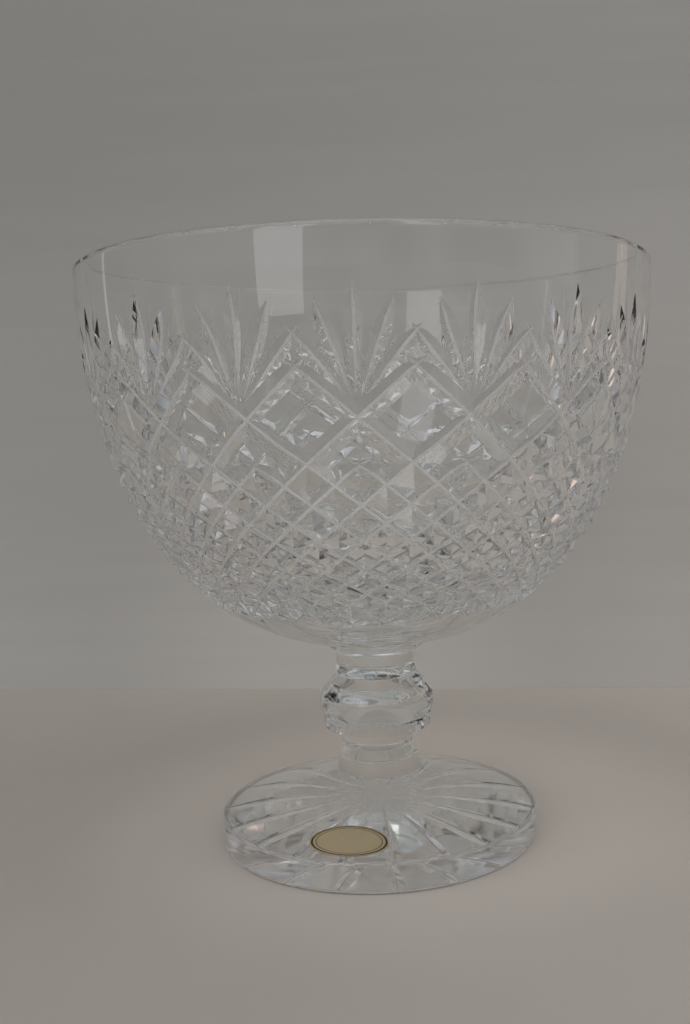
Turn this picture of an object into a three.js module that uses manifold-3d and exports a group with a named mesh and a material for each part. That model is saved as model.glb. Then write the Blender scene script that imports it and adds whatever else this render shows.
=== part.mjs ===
// Footed bowl of cut crystal: a deep bowl with a fan-and-diamond cut, a knopped stem and a star-cut foot.
// Millimetres, +Z up. The origin is the middle of the foot's underside, and the front faces -Y.

import * as THREE from 'three';
import { mergeVertices } from 'three/addons/utils/BufferGeometryUtils.js';
import Module from 'manifold-3d';

const wasm = await Module();
wasm.setup();

// Foot
const FOOT_RADIUS = 50.2;
const FOOT_EDGE_HEIGHT = 9.3;
const FOOT_EDGE_ROUNDING = 1.2;
const HUB_BASE_RADIUS = 13.2;
const HUB_BASE_HEIGHT = 20.9;
const HUB_TOP_RADIUS = 12.4;
const HUB_HEIGHT = 4.7;

// Star of wheel cuts under the foot
const STAR_RAYS = 18;
const STAR_TURN = THREE.MathUtils.degToRad(7);
const STAR_INNER_RADIUS = 6;
const STAR_RAY_WIDTH = 4.4;
const STAR_STEEPNESS = 0.4;
const STAR_OVERRUN = 2.5;

// Stem, from the hub up to the bowl
const LOWER_STEM_RADIUS = 11.4;
const LOWER_STEM_HEIGHT = 8.6;
const LOWER_RING_HEIGHT = 5;
const KNOP_RADIUS = 18.1;
const KNOP_HEIGHT = 17.8;
const KNOP_BAND_BASE = 1;
const KNOP_BAND_RADIUS = 16.9;
const KNOP_BAND_FACETS = 16;
const KNOP_FACET_RADIUS = 16.3;
const KNOP_GIRDLE_HEIGHT = 4.8;
const KNOP_GIRDLE_RADIUS = 17;
const KNOP_BELLY_HEIGHT = 10.4;
const KNOP_SHOULDER_HEIGHT = 12.6;
const KNOP_FLATS = 6;
const KNOP_FLAT_RADIUS = 15.4;
const KNOP_TURN = THREE.MathUtils.degToRad(5);
const UPPER_STEM_RADIUS = 12.8;
const UPPER_STEM_TOP_RADIUS = 12.3;
const UPPER_STEM_HEIGHT = 8.6;
const UPPER_RING_HEIGHT = 3.8;
const RING_GROOVE_WIDTH = 1;
const RING_GROOVE_DEPTH = 0.7;
const COLLAR_RADIUS = 15;
const COLLAR_HEIGHT = 2;
const COLLAR_ROUNDING = 0.8;

// Bowl blank
const RIM_RADIUS = 85;
const BOWL_HEIGHT = 114.1;
const BOTTOM_SWEEP_RADIUS = 55.5;
const BOTTOM_SWEEP_RISE = 6.6;
const SIDE_SWEEP_HEIGHT = 41.1;
const BOTTOM_THICKNESS = 9;
const LIP_THICKNESS = 3.8;
const SIDE_SWELLING = 2.6;
const INNER_BOTTOM_SWEEP_RADIUS = 46;
const INNER_SIDE_SWEEP_HEIGHT = 44;

// Fan-and-diamond cutting: the fans set the pattern's repeat round the bowl
const FANS = 18;
const NET_TOP_BELOW_RIM = 33;
const NET_ANGLE = THREE.MathUtils.degToRad(41);
const NET_END_RADIUS = 47;
const MAIN_CUT_WIDTH = 6;
const CUT_STEEPNESS = 0.55;
const FAN_BASE_BELOW_RIM = 40.3;
const SIDE_BLADES = 2;
const BLADE_LENGTH = 27.2;
const BLADE_SHORTENING = 2.6;
const BLADE_SPREAD = THREE.MathUtils.degToRad(19.5);
const BLADE_FOOT_SPACING = 0.9;
const BLADE_WIDTH = 4.6;
const BLADE_WIDEST = 0.62;

// Oval foil label on the foot
const LABEL_WIDTH = 23.6;
const LABEL_HEIGHT = 13.2;
const LABEL_FROM_EDGE = 8.9;
const LABEL_TURN = THREE.MathUtils.degToRad(-11);
const LABEL_THICKNESS = 0.15;
const LABEL_CLEARANCE = 0.3;

// Fineness of the facets
const COLUMNS_PER_FAN = 4;
const COLUMNS = FANS * COLUMNS_PER_FAN;
const STEM_SEGMENTS = 40;
const ARC_STEPS = 3;
const FOOT_EDGE_STEPS = 2;
const WALL_STEPS = 9;
const LIP_STEPS = 2;
const BOTTOM_STEPS = 3;
const OVAL_STEPS = 16;
const PROFILE_STEPS = 600;
const CUT_STEPS = 4;
const CUTTER_CLEARANCE = 1;
const WELD_DISTANCE = 1e-4;

// Levels of the stack, from the table up
const hubTop = HUB_BASE_HEIGHT + HUB_HEIGHT;
const knopBase = hubTop + LOWER_STEM_HEIGHT;
const knopTop = knopBase + KNOP_HEIGHT;
const collarBase = knopTop + UPPER_STEM_HEIGHT;
const bowlSeat = collarBase + COLLAR_HEIGHT;
const rimTop = bowlSeat + BOWL_HEIGHT;

const crystal = () => new THREE.MeshStandardMaterial({ color: 0xeef3f2, roughness: 0.04, metalness: 0 });
const goldFoil = () => new THREE.MeshStandardMaterial({ color: 0xb98f3c, roughness: 0.35, metalness: 0.8 });

// A closed body whose corners are shared and whose triangles all have an area
function weld(geometry) {
  const bare = new THREE.BufferGeometry();
  bare.setAttribute('position', geometry.getAttribute('position').clone());
  bare.setIndex(geometry.getIndex());
  const merged = mergeVertices(bare, WELD_DISTANCE);
  const corners = merged.getIndex().array;
  const kept = [];
  for (let i = 0; i < corners.length; i += 3) {
    const [a, b, c] = corners.slice(i, i + 3);
    if (a !== b && b !== c && c !== a) kept.push(a, b, c);
  }
  merged.setIndex(kept);
  return merged;
}

function toSolid(geometry) {
  const body = weld(geometry);
  return new wasm.Manifold(new wasm.Mesh({
    numProp: 3,
    vertProperties: new Float32Array(body.getAttribute('position').array),
    triVerts: new Uint32Array(body.getIndex().array),
  }));
}

function toGeometry(solid) {
  const { vertProperties, triVerts } = solid.getMesh();
  const geometry = new THREE.BufferGeometry();
  geometry.setAttribute('position', new THREE.BufferAttribute(new Float32Array(vertProperties), 3));
  geometry.setIndex(Array.from(triVerts));
  return geometry;
}

// Revolved body: the profile runs from the axis at the bottom, up the outside, to the axis at the top
function turned(profile, segments, arcSteps = ARC_STEPS) {
  const geometry = new THREE.LatheGeometry(profile.getPoints(arcSteps), segments);
  return geometry.rotateX(Math.PI / 2);
}

// V-shaped wheel cut along a row of stations; each has a point, an outward normal and half the cut's width
function mitreCutter(stations, steepness = CUT_STEEPNESS) {
  const rings = stations.map(({ point, normal, halfWidth }, i) => {
    const before = stations[Math.max(i - 1, 0)].point;
    const after = stations[Math.min(i + 1, stations.length - 1)].point;
    const side = normal.clone().cross(after.clone().sub(before)).normalize();
    const reach = halfWidth + CUTTER_CLEARANCE;
    const lift = CUTTER_CLEARANCE * steepness;
    const lifted = point.clone().addScaledVector(normal, lift);
    return [
      point.clone().addScaledVector(normal, -halfWidth * steepness),
      lifted.clone().addScaledVector(side, reach),
      lifted.clone().addScaledVector(side, -reach),
    ];
  });
  const faces = [];
  const last = rings.length - 1;
  faces.push([rings[0][0], rings[0][2], rings[0][1]]);
  faces.push([rings[last][0], rings[last][1], rings[last][2]]);
  for (let i = 0; i < last; i += 1) {
    for (let k = 0; k < 3; k += 1) {
      const next = (k + 1) % 3;
      faces.push([rings[i][k], rings[i][next], rings[i + 1][next], rings[i + 1][k]]);
    }
  }
  return polygons(faces);
}

// Triangles of nearly flat, convex faces given as rings of corners
function polygons(faces) {
  const points = [];
  for (const face of faces) {
    const ring = face.filter((corner, i) => corner.distanceTo(face[(i + 1) % face.length]) > WELD_DISTANCE);
    for (let i = 1; i + 1 < ring.length; i += 1) points.push(ring[0], ring[i], ring[i + 1]);
  }
  const geometry = new THREE.BufferGeometry().setFromPoints(points);
  geometry.setIndex(points.map((_, i) => i));
  return geometry;
}

// A leaf-shaped cut swells from a point to its full width and closes to a point again
const leafShape = (share) => Math.sin(Math.PI * share ** (Math.log(0.5) / Math.log(BLADE_WIDEST)));

// Foot: a straight edge, a low cone and a short hub
function footBlank() {
  const edge = FOOT_EDGE_ROUNDING;
  const profile = new THREE.Path()
    .moveTo(0, 0)
    .lineTo(FOOT_RADIUS - edge, 0)
    .quadraticCurveTo(FOOT_RADIUS, 0, FOOT_RADIUS, edge)
    .lineTo(FOOT_RADIUS, FOOT_EDGE_HEIGHT - edge)
    .quadraticCurveTo(FOOT_RADIUS, FOOT_EDGE_HEIGHT, FOOT_RADIUS - edge, FOOT_EDGE_HEIGHT)
    .lineTo(HUB_BASE_RADIUS, HUB_BASE_HEIGHT)
    .lineTo(HUB_TOP_RADIUS, hubTop)
    .lineTo(0, hubTop);
  return turned(profile, COLUMNS, FOOT_EDGE_STEPS);
}

// One ray of the star: it opens near the middle and runs out through the foot's edge
function starRay(angle) {
  const length = FOOT_RADIUS + STAR_OVERRUN - STAR_INNER_RADIUS;
  const stations = [];
  for (let i = 0; i <= CUT_STEPS; i += 1) {
    const share = i / CUT_STEPS;
    const radius = STAR_INNER_RADIUS + share * length;
    stations.push({
      point: new THREE.Vector3(radius * Math.sin(angle), -radius * Math.cos(angle), 0),
      normal: new THREE.Vector3(0, 0, -1),
      halfWidth: STAR_RAY_WIDTH / 2 * leafShape(share),
    });
  }
  return mitreCutter(stations, STAR_STEEPNESS);
}

function footGeometry() {
  let foot = toSolid(footBlank());
  for (let ray = 0; ray < STAR_RAYS; ray += 1) {
    const angle = STAR_TURN + ray / STAR_RAYS * 2 * Math.PI;
    foot = foot.subtract(toSolid(starRay(angle)));
  }
  return toGeometry(foot);
}

// Necks of the stem, each with a V-shaped ring groove
function ringedNeck(baseRadius, topRadius, height, ringHeight) {
  const radiusAt = (level) => THREE.MathUtils.lerp(baseRadius, topRadius, level / height);
  const low = ringHeight - RING_GROOVE_WIDTH / 2;
  const high = ringHeight + RING_GROOVE_WIDTH / 2;
  const profile = new THREE.Path()
    .moveTo(0, 0)
    .lineTo(baseRadius, 0)
    .lineTo(radiusAt(low), low)
    .lineTo(radiusAt(ringHeight) - RING_GROOVE_DEPTH, ringHeight)
    .lineTo(radiusAt(high), high)
    .lineTo(topRadius, height)
    .lineTo(0, height);
  return turned(profile, STEM_SEGMENTS);
}

const lowerStemGeometry = () =>
  ringedNeck(LOWER_STEM_RADIUS, LOWER_STEM_RADIUS, LOWER_STEM_HEIGHT, LOWER_RING_HEIGHT);

const upperStemGeometry = () =>
  ringedNeck(UPPER_STEM_RADIUS, UPPER_STEM_TOP_RADIUS, UPPER_STEM_HEIGHT, UPPER_RING_HEIGHT);

// Knop: a turned pear with arched flats above its girdle and a facetted band below it
function knopGeometry() {
  const bulge = (KNOP_GIRDLE_HEIGHT + KNOP_BELLY_HEIGHT) / 2;
  const profile = new THREE.Path()
    .moveTo(0, 0)
    .lineTo(LOWER_STEM_RADIUS, 0)
    .lineTo(KNOP_BAND_RADIUS, KNOP_BAND_BASE)
    .lineTo(KNOP_GIRDLE_RADIUS, KNOP_GIRDLE_HEIGHT)
    .quadraticCurveTo(KNOP_RADIUS, bulge, KNOP_RADIUS, KNOP_BELLY_HEIGHT)
    .quadraticCurveTo(KNOP_RADIUS, KNOP_SHOULDER_HEIGHT, UPPER_STEM_RADIUS, KNOP_HEIGHT)
    .lineTo(0, KNOP_HEIGHT);
  const pear = toSolid(turned(profile, STEM_SEGMENTS));
  const aboveGirdle = KNOP_HEIGHT - KNOP_GIRDLE_HEIGHT;
  const lean = (KNOP_RADIUS - KNOP_FLAT_RADIUS) / (KNOP_BELLY_HEIGHT - KNOP_GIRDLE_HEIGHT);
  const clear = KNOP_GIRDLE_RADIUS + aboveGirdle;
  const flats = facetBlock(KNOP_FLATS, [
    [clear, 0],
    [clear, KNOP_GIRDLE_HEIGHT],
    [KNOP_FLAT_RADIUS, KNOP_GIRDLE_HEIGHT],
    [KNOP_FLAT_RADIUS + lean * aboveGirdle, KNOP_HEIGHT],
  ]);
  const band = facetBlock(KNOP_BAND_FACETS, [
    [KNOP_FACET_RADIUS, 0],
    [KNOP_GIRDLE_RADIUS, KNOP_GIRDLE_HEIGHT],
    [clear, KNOP_HEIGHT],
  ]);
  return toGeometry(pear.intersect(toSolid(flats)).intersect(toSolid(band)));
}

// Block with flat sides, given by the inscribed radius and the height of each corner of its outline
function facetBlock(sides, corners) {
  const outward = 1 / Math.cos(Math.PI / sides);
  const outline = corners.map(([radius, height]) => new THREE.Vector2(radius * outward, height));
  const [low, high] = [outline.at(0), outline.at(-1)].map(({ y }) => new THREE.Vector2(0, y));
  const block = new THREE.LatheGeometry([low, ...outline, high], sides);
  return block.rotateX(Math.PI / 2).rotateZ(Math.PI / sides + KNOP_TURN);
}

function collarGeometry() {
  const edge = COLLAR_ROUNDING;
  const profile = new THREE.Path()
    .moveTo(0, 0)
    .lineTo(COLLAR_RADIUS - edge, 0)
    .quadraticCurveTo(COLLAR_RADIUS, 0, COLLAR_RADIUS, edge)
    .lineTo(COLLAR_RADIUS, COLLAR_HEIGHT)
    .lineTo(0, COLLAR_HEIGHT);
  return turned(profile, STEM_SEGMENTS);
}

// Outer curve of the bowl, from the rim down to the seat, and the room it leaves for the pattern.
// Going down the wall, the scale adds up each step as a share of the radius there. On a map of that scale
// and the angle round the bowl, a cut that keeps one slant to the rim is a straight line.
const lipRadius = LIP_THICKNESS / 2;
const outerCurve = new THREE.CubicBezierCurve(
  new THREE.Vector2(RIM_RADIUS, rimTop - lipRadius),
  new THREE.Vector2(RIM_RADIUS, bowlSeat + SIDE_SWEEP_HEIGHT),
  new THREE.Vector2(BOTTOM_SWEEP_RADIUS, bowlSeat + BOTTOM_SWEEP_RISE),
  new THREE.Vector2(COLLAR_RADIUS, bowlSeat),
);
const meridian = outerCurve.getPoints(PROFILE_STEPS);
const scale = [0];
for (let i = 1; i <= PROFILE_STEPS; i += 1) {
  const radius = (meridian[i].x + meridian[i - 1].x) / 2;
  scale.push(scale[i - 1] + meridian[i].distanceTo(meridian[i - 1]) / radius);
}
const scaleAtHeight = (height) => scale[meridian.findIndex((point) => point.y <= height)];

// Columns and rows of the net: every second crossing of a column and a row is a crossing of two cuts
const columnAngle = 2 * Math.PI / COLUMNS;
const rowStep = columnAngle * Math.tan(NET_ANGLE);
const topScale = scaleAtHeight(rimTop - NET_TOP_BELOW_RIM);
const rowOf = (scaleValue) => (scaleValue - topScale) / rowStep;
const endRow = Math.floor(rowOf(scale[meridian.findIndex((point) => point.x <= NET_END_RADIUS)]));
const netRow = COLUMNS_PER_FAN;
const rimRow = rowOf(0);
const bandRow = rimRow / 2;

// Point of the outer curve at a row, with the outward normal in the same plane
function meridianAt(row) {
  const wanted = THREE.MathUtils.clamp(topScale + row * rowStep, 0, scale[PROFILE_STEPS]);
  const next = Math.max(1, scale.findIndex((value) => value >= wanted));
  const share = (wanted - scale[next - 1]) / (scale[next] - scale[next - 1]);
  const point = meridian[next - 1].clone().lerp(meridian[next], share);
  const along = meridian[next].clone().sub(meridian[next - 1]).normalize();
  return { point, normal: new THREE.Vector2(-along.y, along.x) };
}

const around = (radius, height, angle) =>
  new THREE.Vector3(radius * Math.sin(angle), -radius * Math.cos(angle), height);

// Point of the bowl's outside at a column and a row, pressed in by a depth
function wallPoint(column, row, depth = 0) {
  const { point, normal } = meridianAt(row);
  const pressed = point.clone().addScaledVector(normal, -depth);
  return around(pressed.x, pressed.y, column * columnAngle);
}

function wallNormal(column, row) {
  const { normal } = meridianAt(row);
  return around(normal.x, normal.y, column * columnAngle);
}

// Half the distance between neighbouring cuts of the full net, square to the cuts
const halfSpacing = (row) => meridianAt(row).point.x * columnAngle * Math.sin(NET_ANGLE);

// Depth of the net's cuts, which run out to nothing at the last row
const netDepth = (row) => (row < endRow ? halfSpacing(row) * CUT_STEEPNESS : 0);

// Half a fan's share of the upper pattern, from the fan's middle (column 0) to the gap beside it (column 2).
// Two zigzags of main cuts meet under the fan and frame a plain diamond under the gap. Each cut is a V: its
// bottom runs from crossing to crossing, and its edges lie on the blank.
function upperFaces(fan, side) {
  const on = (column, row, depth = 0) => wallPoint(fan * COLUMNS_PER_FAN + side * column, row, depth);
  const share = (row) => MAIN_CUT_WIDTH / 2 / halfSpacing(row);
  const mainDepth = MAIN_CUT_WIDTH / 2 * CUT_STEEPNESS;
  const rim = [0, 1, 2].map((column) => on(column, rimRow));
  const band = [0, 1, 2].map((column) => on(column, bandRow));
  const upperCut = [on(0, 2, mainDepth), on(1, 1, mainDepth), on(2, 0, mainDepth)];
  const upperEdge = [on(0, 2 - share(2)), on(1, 1 - share(1)), on(2, -share(0))];
  const lowerCut = [upperCut[0], on(1, 3, mainDepth), on(2, 4, netDepth(4))];
  const lowerEdge = [on(0, 2 + share(2)), on(1, 3 + share(3))];
  const diamondSide = on(share(2), 2);
  const diamondTop = [diamondSide, on(1, 1 + share(1)), on(2, share(0))];
  const diamondBottom = [diamondSide, on(1, 3 - share(3)), on(2, 4 - share(4))];
  const pointStart = on(0, 4, netDepth(4));
  const pointStartEdge = on(0, 4 - share(4));
  const netPoint = on(1, 4);
  const faces = [
    [diamondTop[1], diamondSide, diamondBottom[1]],
    [diamondTop[1], diamondBottom[1], diamondBottom[2], diamondTop[2]],
    [lowerEdge[0], pointStartEdge, netPoint, lowerEdge[1]],
    [pointStartEdge, pointStart, netPoint],
    [upperCut[0], lowerEdge[0], lowerEdge[1], lowerCut[1]],
    [lowerEdge[1], netPoint, lowerCut[2], lowerCut[1]],
  ];
  for (const k of [0, 1]) {
    faces.push([rim[k], band[k], band[k + 1], rim[k + 1]]);
    faces.push([band[k], upperEdge[k], upperEdge[k + 1], band[k + 1]]);
    faces.push([upperEdge[k], upperCut[k], upperCut[k + 1], upperEdge[k + 1]]);
    faces.push([upperCut[k], diamondTop[k], diamondTop[k + 1], upperCut[k + 1]]);
    faces.push([diamondBottom[k], lowerCut[k], lowerCut[k + 1], diamondBottom[k + 1]]);
  }
  return side > 0 ? faces : faces.map((face) => face.reverse());
}

// One cell of the net of points: it is folded along the cut that runs through it from corner to corner.
// Crossings of two cuts lie at the bottom of the cuts, the other corners are points that stay on the blank.
function netCell(column, row) {
  const corners = [[column, row], [column, row + 1], [column + 1, row + 1], [column + 1, row]];
  const [a, b, c, d] = corners.map(([x, y]) => wallPoint(x, y, (x + y) % 2 === 0 ? netDepth(y) : 0));
  return (column + row) % 2 === 0 ? [[a, b, c], [a, c, d]] : [[b, c, d], [b, d, a]];
}

// Rings of the blank outside the pattern: the inside, the lip, and the plain bottom with its seat
function bandFaces(profile) {
  const faces = [];
  for (let i = 0; i + 1 < profile.length; i += 1) {
    for (let column = 0; column < COLUMNS; column += 1) {
      const left = column * columnAngle;
      const right = left + columnAngle;
      faces.push([
        around(profile[i].x, profile[i].y, left),
        around(profile[i + 1].x, profile[i + 1].y, left),
        around(profile[i + 1].x, profile[i + 1].y, right),
        around(profile[i].x, profile[i].y, right),
      ]);
    }
  }
  return faces;
}

function bowlBlank() {
  const inside = new THREE.Path()
    .moveTo(0, bowlSeat + BOTTOM_THICKNESS)
    .bezierCurveTo(
      INNER_BOTTOM_SWEEP_RADIUS, bowlSeat + BOTTOM_THICKNESS,
      RIM_RADIUS - LIP_THICKNESS - SIDE_SWELLING, bowlSeat + INNER_SIDE_SWEEP_HEIGHT,
      RIM_RADIUS - LIP_THICKNESS, rimTop - lipRadius,
    )
    .getPoints(WALL_STEPS);
  const lip = new THREE.Path()
    .absarc(RIM_RADIUS - lipRadius, rimTop - lipRadius, lipRadius, Math.PI, 0, true)
    .getPoints(LIP_STEPS);
  const seatRow = rowOf(scale[PROFILE_STEPS]);
  const bottom = [];
  for (let i = 0; i <= BOTTOM_STEPS; i += 1) {
    bottom.push(meridianAt(THREE.MathUtils.lerp(endRow, seatRow, i / BOTTOM_STEPS)).point);
  }
  bottom.push(new THREE.Vector2(0, bowlSeat));
  const faces = [inside, lip, bottom].flatMap(bandFaces);
  for (let fan = 0; fan < FANS; fan += 1) faces.push(...upperFaces(fan, 1), ...upperFaces(fan, -1));
  for (let row = netRow; row < endRow; row += 1) {
    for (let column = 0; column < COLUMNS; column += 1) faces.push(...netCell(column, row));
  }
  return polygons(faces);
}

// One blade of a fan: a leaf-shaped cut that leans away from the fan's middle
function fanBlade(fan, blade) {
  const baseRow = rowOf(scaleAtHeight(rimTop - FAN_BASE_BELOW_RIM));
  const radius = meridianAt(baseRow).point.x;
  const length = BLADE_LENGTH - BLADE_SHORTENING * Math.abs(blade);
  const lean = BLADE_SPREAD * blade;
  const stations = [];
  for (let i = 0; i <= CUT_STEPS; i += 1) {
    const share = i / CUT_STEPS;
    const sideways = BLADE_FOOT_SPACING * blade + share * length * Math.sin(lean);
    const column = fan * COLUMNS_PER_FAN + sideways / (radius * columnAngle);
    const row = baseRow - share * length * Math.cos(lean) / (radius * rowStep);
    stations.push({
      point: wallPoint(column, row),
      normal: wallNormal(column, row),
      halfWidth: BLADE_WIDTH / 2 * leafShape(share),
    });
  }
  return mitreCutter(stations);
}

function bowlGeometry() {
  let bowl = toSolid(bowlBlank());
  for (let fan = 0; fan < FANS; fan += 1) {
    for (let blade = -SIDE_BLADES; blade <= SIDE_BLADES; blade += 1) {
      bowl = bowl.subtract(toSolid(fanBlade(fan, blade)));
    }
  }
  return toGeometry(bowl);
}

// Label: an oval of thin foil bent over the foot's cone
function labelGeometry() {
  const outer = new THREE.Vector2(FOOT_RADIUS - FOOT_EDGE_ROUNDING, FOOT_EDGE_HEIGHT);
  const inner = new THREE.Vector2(HUB_BASE_RADIUS, HUB_BASE_HEIGHT);
  const slope = inner.clone().sub(outer).normalize();
  const normal = new THREE.Vector2(slope.y, -slope.x);
  const raised = (point, height) => point.clone().addScaledVector(normal, height);
  const under = LABEL_CLEARANCE;
  const over = LABEL_CLEARANCE + LABEL_THICKNESS;
  const ring = [raised(outer, under), raised(outer, over), raised(inner, over), raised(inner, under)];
  const sheet = toSolid(new THREE.LatheGeometry([...ring, ring[0]], COLUMNS).rotateX(Math.PI / 2));
  const oval = new THREE.Shape().absellipse(0, 0, LABEL_WIDTH / 2, LABEL_HEIGHT / 2, 0, 2 * Math.PI);
  const depth = LABEL_HEIGHT;
  const punch = new THREE.ExtrudeGeometry(oval, { depth, bevelEnabled: false, curveSegments: OVAL_STEPS });
  const share = (outer.x - FOOT_RADIUS + LABEL_FROM_EDGE) / (outer.x - inner.x);
  const centre = outer.clone().lerp(inner, share);
  punch.translate(0, 0, -depth / 2);
  punch.rotateX(Math.atan2(normal.x, normal.y));
  punch.translate(0, -centre.x, centre.y);
  punch.rotateZ(LABEL_TURN);
  return toGeometry(sheet.intersect(toSolid(punch)));
}

const bonbonniere = new THREE.Group();

function addPiece(name, geometry, material, height = 0) {
  const piece = new THREE.Mesh(geometry, material);
  piece.name = name;
  piece.position.z = height;
  bonbonniere.add(piece);
}

addPiece('foot', footGeometry(), crystal());
addPiece('lower_stem', lowerStemGeometry(), crystal(), hubTop);
addPiece('knop', knopGeometry(), crystal(), knopBase);
addPiece('upper_stem', upperStemGeometry(), crystal(), knopTop);
addPiece('bowl_collar', collarGeometry(), crystal(), collarBase);
addPiece('bowl', bowlGeometry(), crystal());
addPiece('foil_label', labelGeometry(), goldFoil());

export default bonbonniere;
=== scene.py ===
# %% [markdown]
# # A footed bowl of cut crystal
#
# The bowl, its knopped stem and its star-cut foot are bits of glass that were joined hot at the furnace.
# When they were cold, a cutter held them against turning wheels with a V-shaped edge. So each piece below
# is first turned, as on a lathe, and then cut. Lengths are written in millimetres and scaled to metres by
# MM.

import math

import bmesh
import bpy
from mathutils import Matrix, Vector


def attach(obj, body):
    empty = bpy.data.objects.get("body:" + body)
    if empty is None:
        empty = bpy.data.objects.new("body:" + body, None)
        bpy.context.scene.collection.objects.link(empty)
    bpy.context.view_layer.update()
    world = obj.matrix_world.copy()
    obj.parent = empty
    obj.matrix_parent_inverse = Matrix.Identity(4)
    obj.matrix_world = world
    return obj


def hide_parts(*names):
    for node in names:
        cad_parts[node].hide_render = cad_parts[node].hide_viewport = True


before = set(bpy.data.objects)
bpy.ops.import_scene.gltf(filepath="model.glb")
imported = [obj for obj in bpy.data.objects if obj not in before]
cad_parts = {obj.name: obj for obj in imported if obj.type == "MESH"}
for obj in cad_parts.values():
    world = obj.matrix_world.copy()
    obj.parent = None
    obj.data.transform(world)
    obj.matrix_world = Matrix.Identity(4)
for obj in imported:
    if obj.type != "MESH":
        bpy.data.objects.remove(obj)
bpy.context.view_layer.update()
MM = 0.001
print("CAD nodes:", sorted(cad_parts))

# %% [markdown]
# ## Camera
#
# The photograph is taken from just below the rim, close to the bowl, with the middle of the lens to the
# right of the picture's middle: the picture is a crop. A camera can be fitted to such a picture by moving
# it by hand, but here it was worked out from the ellipses of the rim and the foot. The crop becomes the
# camera's shift.

# %% Camera
PHOTO_WIDTH, PHOTO_HEIGHT = 690, 1024
FOCAL_PIXELS = 1070.1
LENS_MIDDLE = Vector((408.1, 562.0))
CAMERA_PLACE = Vector((11.07, -334.0, 130.71)) * MM
CAMERA_TILT, CAMERA_ROLL = math.radians(7.485), -0.0256
SENSOR, NEAREST = 36.0, 10 * MM

lens = bpy.data.cameras.new("photo_camera")
lens.sensor_width = SENSOR
lens.lens = SENSOR * FOCAL_PIXELS / PHOTO_HEIGHT
lens.shift_x = (PHOTO_WIDTH / 2 - LENS_MIDDLE.x) / PHOTO_HEIGHT
lens.shift_y = (LENS_MIDDLE.y - PHOTO_HEIGHT / 2) / PHOTO_HEIGHT
lens.clip_start = NEAREST
camera = bpy.data.objects.new("photo_camera", lens)
bpy.context.scene.collection.objects.link(camera)
turn = Matrix.Rotation(math.pi / 2 - CAMERA_TILT, 4, "X") @ Matrix.Rotation(CAMERA_ROLL, 4, "Z")
camera.matrix_world = Matrix.Translation(CAMERA_PLACE) @ turn
bpy.context.scene.camera = camera
print(f"lens {lens.lens:.2f} mm, shift {lens.shift_x:.4f}, {lens.shift_y:.4f}")

# %% [markdown]
# ## A bench for node trees
#
# Geometry Nodes suit cut glass well: a piece is a short recipe of turning and cutting, and its sizes are
# the inputs of the recipe. A material is a node tree, too. The small classes below add nodes to a tree, so
# that a cell reads like a recipe. A value that is fed to a node is either another node's output or a plain
# value.

# %% Bench for any node tree
class Bench:
    def __init__(self, tree):
        self.tree = tree

    def feed(self, socket, value):
        if isinstance(value, bpy.types.NodeSocket):
            self.tree.links.new(value, socket)
        else:
            socket.default_value = value

    def node(self, kind, inputs=None, **options):
        made = self.tree.nodes.new(kind)
        for option, choice in options.items():
            setattr(made, option, choice)
        for label, value in (inputs or {}).items():
            self.feed(made.inputs[label], value)
        return made.outputs

    def maths(self, operation, a, b=0.0, c=0.0):
        return self.node("ShaderNodeMath", {0: a, 1: b, 2: c}, operation=operation)[0]

    def plus(self, a, b):
        return self.maths("ADD", a, b)

    def minus(self, a, b):
        return self.maths("SUBTRACT", a, b)

    def times(self, a, b):
        return self.maths("MULTIPLY", a, b)

    def over(self, a, b):
        return self.maths("DIVIDE", a, b)

    def diagonal(self, a, b):
        return self.maths("SQRT", self.plus(self.maths("POWER", a, 2), self.maths("POWER", b, 2)))

    def vector(self, operation, a, b=(0, 0, 0), output=0):
        return self.node("ShaderNodeVectorMath", {0: a, 1: b}, operation=operation)[output]

    def scaled(self, vector, length):
        return self.node("ShaderNodeVectorMath", {0: vector, "Scale": length}, operation="SCALE")[0]

    def xyz(self, x, y, z):
        return self.node("ShaderNodeCombineXYZ", {0: x, 1: y, 2: z})[0]

    def parts(self, vector):
        return self.node("ShaderNodeSeparateXYZ", {0: vector})

    def ramp(self, value, start, end, low=0.0, high=1.0, style="LINEAR"):
        spread = {0: value, 1: start, 2: end, 3: low, 4: high}
        return self.node("ShaderNodeMapRange", spread, interpolation_type=style)[0]

    def noise(self, place, scale, detail=2.0):
        return self.node("ShaderNodeTexNoise", {"Vector": place, "Scale": scale, "Detail": detail})["Fac"]


# %% Bench for materials
class Paint(Bench):
    """A material's tree. Its patterns hang on the object's own coordinates."""

    def __init__(self, name):
        self.material = bpy.data.materials.new(name)
        self.material.use_nodes = True
        super().__init__(self.material.node_tree)
        self.place = self.node("ShaderNodeTexCoord")["Object"]
        self.shader = self.tree.nodes["Principled BSDF"]
        self.surface = self.tree.nodes["Material Output"].inputs["Surface"]

    def mixed(self, factor, *colours):
        first, second = (c if isinstance(c, bpy.types.NodeSocket) else (*c, 1) for c in colours)
        return self.node("ShaderNodeMix", {0: factor, 6: first, 7: second}, data_type="RGBA")[2]

    def shade(self, values):
        for label, value in values.items():
            self.feed(self.shader.inputs[label], value)


# %% Bench for pieces
WELD = 0.002 * MM


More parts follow.
